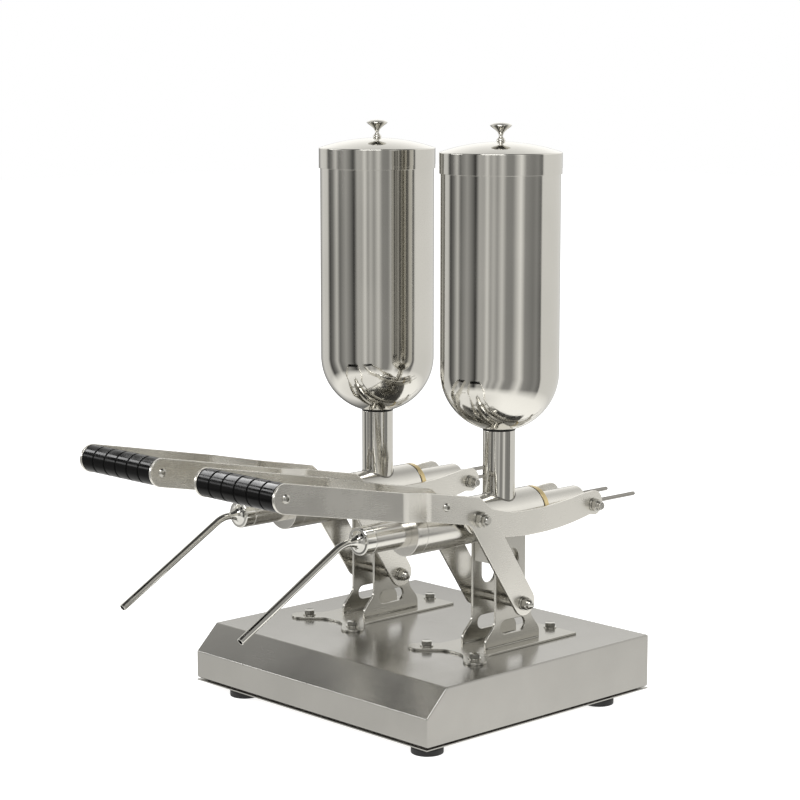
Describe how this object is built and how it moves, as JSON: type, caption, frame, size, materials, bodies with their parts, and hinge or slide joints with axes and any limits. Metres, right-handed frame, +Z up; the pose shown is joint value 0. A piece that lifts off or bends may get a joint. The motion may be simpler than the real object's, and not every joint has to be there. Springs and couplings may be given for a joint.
{
  "type": "donut filler machine",
  "caption": "Twin-hopper piston filler for donuts: lidded stainless hoppers feed barrels whose plungers are worked by front levers, ending in bent filling tubes.",
  "frame": {"origin": "centre of the bounding box, on the worktop under the feet", "axes": "+Z up, the levers and filling tubes point towards -Y where the operator stands, +X to the operator's right"},
  "size_m": [0.44, 0.673, 0.749],
  "materials": {
    "brushed_steel": "fine brushed stainless sheet",
    "polished_steel": "mirror polished stainless",
    "fastener_steel": "bright zinc or stainless fastener",
    "brass_ring": "turned brass",
    "black_rubber": "smooth black rubber"
  },
  "bodies": {
    "frame": {"base_shell": "brushed_steel", "base_pan": "brushed_steel", "feet": "black_rubber", "foot_bolts": "fastener_steel", "pivot_nuts": "fastener_steel", "pivot_spacers": "fastener_steel", "guide_rods": "polished_steel", "gaskets": "black_rubber", "foot_plate_right": "brushed_steel", "stand_plate_outer_right": "brushed_steel", "stand_plate_inner_right": "brushed_steel", "saddle_block_right": "brushed_steel", "pivot_shaft_right": "polished_steel", "barrel_right": "polished_steel", "throat_right": "polished_steel", "front_cap_right": "polished_steel", "outlet_sleeve_right": "polished_steel", "nozzle_right": "polished_steel", "gland_ring_right": "brass_ring", "hopper_right": "polished_steel", "foot_plate_left": "brushed_steel", "stand_plate_outer_left": "brushed_steel", "stand_plate_inner_left": "brushed_steel", "saddle_block_left": "brushed_steel", "pivot_shaft_left": "polished_steel", "barrel_left": "polished_steel", "throat_left": "polished_steel", "front_cap_left": "polished_steel", "outlet_sleeve_left": "polished_steel", "nozzle_left": "polished_steel", "gland_ring_left": "brass_ring", "hopper_left": "polished_steel"},
    "lever_right": {"lever_plate_outer_right": "brushed_steel", "lever_plate_inner_right": "brushed_steel", "grip_right": "black_rubber", "grip_tube_right": "brushed_steel", "stop_bar_right": "brushed_steel", "lever_screws_right": "fastener_steel", "link_bolts_right": "fastener_steel"},
    "plunger_right": {"plunger_right": "polished_steel", "crosshead_right": "polished_steel", "rear_nuts_right": "fastener_steel"},
    "links_right": {"link_outer_right": "brushed_steel", "link_inner_right": "brushed_steel"},
    "lid_right": {"lid_right": "polished_steel", "knob_right": "polished_steel"},
    "lever_left": {"lever_plate_outer_left": "brushed_steel", "lever_plate_inner_left": "brushed_steel", "grip_left": "black_rubber", "grip_tube_left": "brushed_steel", "stop_bar_left": "brushed_steel", "lever_screws_left": "fastener_steel", "link_bolts_left": "fastener_steel"},
    "plunger_left": {"plunger_left": "polished_steel", "crosshead_left": "polished_steel", "rear_nuts_left": "fastener_steel"},
    "links_left": {"link_outer_left": "brushed_steel", "link_inner_left": "brushed_steel"},
    "lid_left": {"lid_left": "polished_steel", "knob_left": "polished_steel"}
  },
  "joints": [
    {"name": "lever_lift_right", "type": "hinge", "parent": "frame", "child": "lever_right", "pos_m": [0.1138, 0.0995, 0.1425], "axis": [-1, 0, 0], "range_deg": [0, 30]},
    {"name": "plunger_stroke_right", "type": "slide", "parent": "frame", "child": "plunger_right", "axis": [0, 1, 0], "range_m": [0, 0.07]},
    {"name": "link_swing_right", "type": "hinge", "parent": "plunger_right", "child": "links_right", "pos_m": [0.1138, 0.2365, 0.251], "axis": [-1, 0, 0], "range_deg": [0, 8]},
    {"name": "lid_lift_right", "type": "slide", "parent": "frame", "child": "lid_right", "axis": [0, 0, 1], "range_m": [0, 0.1]},
    {"name": "lever_lift_left", "type": "hinge", "parent": "frame", "child": "lever_left", "pos_m": [-0.1138, 0.0995, 0.1425], "axis": [-1, 0, 0], "range_deg": [0, 30]},
    {"name": "plunger_stroke_left", "type": "slide", "parent": "frame", "child": "plunger_left", "axis": [0, 1, 0], "range_m": [0, 0.07]},
    {"name": "link_swing_left", "type": "hinge", "parent": "plunger_left", "child": "links_left", "pos_m": [-0.1138, 0.2365, 0.251], "axis": [-1, 0, 0], "range_deg": [0, 8]},
    {"name": "lid_lift_left", "type": "slide", "parent": "frame", "child": "lid_left", "axis": [0, 0, 1], "range_m": [0, 0.1]}
  ],
  "couplings": [
    {"joint": "plunger_stroke_right", "follows": "lever_lift_right", "m_per_rad": 0.1275},
    {"joint": "link_swing_right", "follows": "lever_lift_right", "ratio": 0.243},
    {"joint": "plunger_stroke_left", "follows": "lever_lift_left", "m_per_rad": 0.1275},
    {"joint": "link_swing_left", "follows": "lever_lift_left", "ratio": 0.243}
  ]
}
